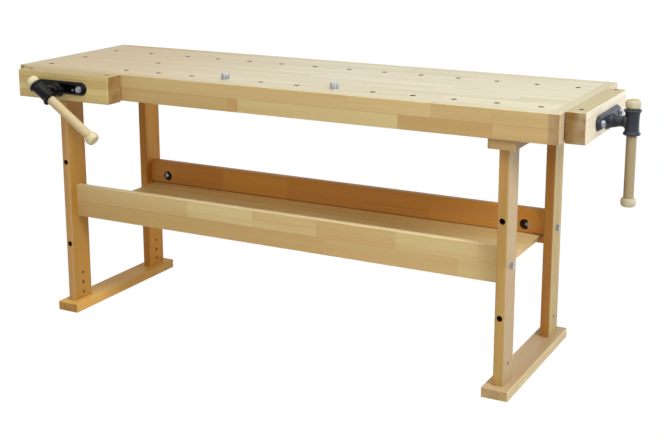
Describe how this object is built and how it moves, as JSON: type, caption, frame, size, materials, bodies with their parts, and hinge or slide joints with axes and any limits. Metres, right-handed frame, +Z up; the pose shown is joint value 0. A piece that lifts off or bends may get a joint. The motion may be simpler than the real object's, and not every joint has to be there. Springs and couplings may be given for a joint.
{
  "type": "woodworking bench",
  "caption": "Beech woodworking bench with a face vise, an end vise, dog holes and steel dogs, on trestles joined by stretchers with a tray shelf between them.",
  "frame": {"origin": "centre of the whole bench's footprint, vises and handles included, on the floor", "axes": "+X along the top towards the end vise, +Y from the front vise's side to the back, +Z up"},
  "size_m": [2.167, 0.793, 0.9195],
  "materials": {
    "top_beech": "oiled, satin",
    "rim_beech": "oiled, satin",
    "frame_beech": "oiled, satin",
    "jaw_beech": "oiled, satin",
    "handle_beech": "sanded, satin",
    "dowel_beech": "plain",
    "shelf_birch": "oiled, satin",
    "black_casting": "gloss paint",
    "dark_casting": "satin paint",
    "zinc_steel": "zinc plated",
    "turned_steel": "machined",
    "yellow_brass": "plain"
  },
  "bodies": {
    "bench": {"top_panel": "top_beech", "front_apron": "rim_beech", "rear_apron": "rim_beech", "left_end_cap": "rim_beech", "right_end_cap": "rim_beech", "end_cap_dowels": "dowel_beech", "left_foot": "frame_beech", "right_foot": "frame_beech", "left_bearer": "frame_beech", "right_bearer": "frame_beech", "front_left_leg": "frame_beech", "front_right_leg": "frame_beech", "rear_left_leg": "frame_beech", "rear_right_leg": "frame_beech", "front_stretcher": "rim_beech", "rear_stretcher": "rim_beech", "shelf_board": "shelf_birch", "front_shelf_cleat": "frame_beech", "rear_shelf_cleat": "frame_beech", "cleat_screws": "zinc_steel", "stretcher_bolts": "zinc_steel", "stretcher_washers": "zinc_steel", "stretcher_saddles": "zinc_steel", "stretcher_nuts": "zinc_steel", "stretcher_dowels": "dowel_beech", "bearer_bolts": "zinc_steel", "bearer_washers": "zinc_steel", "bearer_inserts": "yellow_brass", "front_nut_bracket": "black_casting", "front_bracket_screws": "zinc_steel", "end_nut_bracket": "dark_casting", "end_bracket_screws": "zinc_steel"},
    "front_jaw": {"front_jaw": "jaw_beech", "front_vise_flange": "black_casting", "front_flange_screws": "zinc_steel", "front_flange_bolts": "zinc_steel", "front_guide_rods": "turned_steel"},
    "front_screw": {"front_vise_screw": "turned_steel", "front_thrust_collar": "turned_steel", "front_screw_head": "black_casting", "front_head_pin": "turned_steel"},
    "front_handle": {"front_handle_bar": "handle_beech", "front_handle_knobs": "handle_beech"},
    "end_jaw": {"end_jaw": "jaw_beech", "end_vise_flange": "dark_casting", "end_flange_screws": "zinc_steel", "end_flange_bolts": "zinc_steel", "end_guide_rods": "turned_steel"},
    "end_screw": {"end_vise_screw": "turned_steel", "end_thrust_collar": "turned_steel", "end_screw_head": "dark_casting", "end_head_pin": "turned_steel"},
    "end_handle": {"end_handle_bar": "handle_beech", "end_handle_knobs": "handle_beech"},
    "left_dog": {"left_bench_dog": "turned_steel"},
    "right_dog": {"right_bench_dog": "turned_steel"}
  },
  "joints": [
    {"name": "front_screw_turn", "type": "hinge", "parent": "front_jaw", "child": "front_screw", "pos_m": [-0.836, -0.294, 0.845], "axis": [0, -1, 0], "range_deg": [0, 10080]},
    {"name": "front_jaw_slide", "type": "slide", "parent": "bench", "child": "front_jaw", "axis": [0, -1, 0], "range_m": [0, 0.14001]},
    {"name": "front_handle_slide", "type": "slide", "parent": "front_screw", "child": "front_handle", "axis": [-0.8192, 0, 0.5736], "range_m": [0, 0.19]},
    {"name": "end_screw_turn", "type": "hinge", "parent": "end_jaw", "child": "end_screw", "pos_m": [0.981, 0.0385, 0.845], "axis": [1, 0, 0], "range_deg": [0, 10080]},
    {"name": "end_jaw_slide", "type": "slide", "parent": "bench", "child": "end_jaw", "axis": [1, 0, 0], "range_m": [0, 0.14001]},
    {"name": "end_handle_slide", "type": "slide", "parent": "end_screw", "child": "end_handle", "axis": [0, 0, 1], "range_m": [0, 0.19]},
    {"name": "left_dog_lift", "type": "slide", "parent": "bench", "child": "left_dog", "axis": [0, 0, 1], "range_m": [0, 0.08]},
    {"name": "right_dog_lift", "type": "slide", "parent": "bench", "child": "right_dog", "axis": [0, 0, 1], "range_m": [0, 0.08]}
  ],
  "couplings": [
    {"joint": "front_jaw_slide", "follows": "front_screw_turn", "m_per_rad": 0.00079577},
    {"joint": "end_jaw_slide", "follows": "end_screw_turn", "m_per_rad": 0.00079577}
  ]
}
